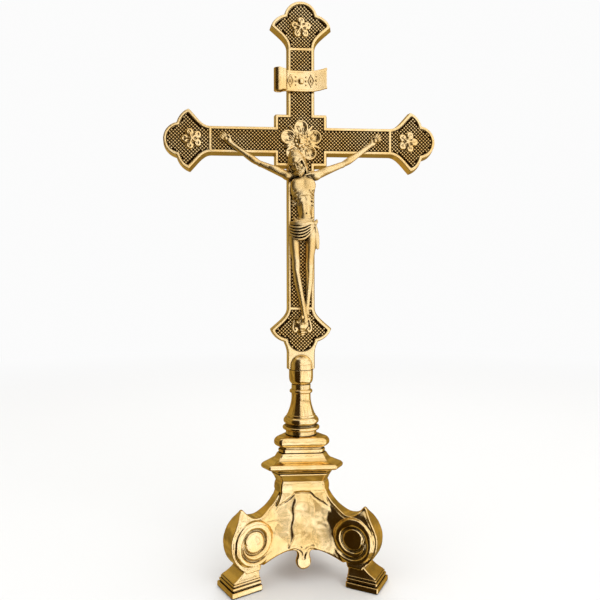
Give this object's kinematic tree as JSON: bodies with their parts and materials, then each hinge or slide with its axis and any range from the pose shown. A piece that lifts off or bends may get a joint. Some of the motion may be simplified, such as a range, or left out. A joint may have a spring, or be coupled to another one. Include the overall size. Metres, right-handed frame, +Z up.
{
  "type": "altar cross",
  "caption": "Free-standing cast brass altar crucifix with lobed ends, a turned stem and a triangular scroll-footed base.",
  "frame": {"origin": "middle of the bounding box in plan, on the plane under the three feet", "axes": "+Z up along the stem; -Y is the front, where the figure faces; +X is the viewer's right"},
  "size_m": [0.1836, 0.0952, 0.381],
  "materials": {
    "base_brass": "polished cast brass with dark patina in the recesses",
    "stem_brass": "polished turned brass with dark patina in the grooves",
    "cross_brass": "bright rims, knurled field with dark patina in its grooves",
    "ornament_brass": "polished cast brass",
    "figure_brass": "cast brass, rubbed bright on the high parts and dark in the folds",
    "rod_steel": "zinc-plated threaded steel"
  },
  "bodies": {
    "root": {"tripod_base": "base_brass", "base_cornice": "base_brass", "base_cushion": "base_brass", "stem_ring": "stem_brass", "stem_baluster": "stem_brass", "stem_socket": "stem_brass", "cross": "cross_brass", "rosette_center": "ornament_brass", "rosette_top": "ornament_brass", "rosette_left": "ornament_brass", "rosette_right": "ornament_brass", "titulus": "ornament_brass", "titulus_rivet": "ornament_brass", "corpus": "figure_brass", "foot_rest": "figure_brass", "nail_hand_left": "figure_brass", "nail_hand_right": "figure_brass", "nail_feet": "figure_brass", "tie_rod": "rod_steel", "tie_rod_washer": "rod_steel", "tie_rod_nut": "rod_steel"}
  },
  "joints": []
}
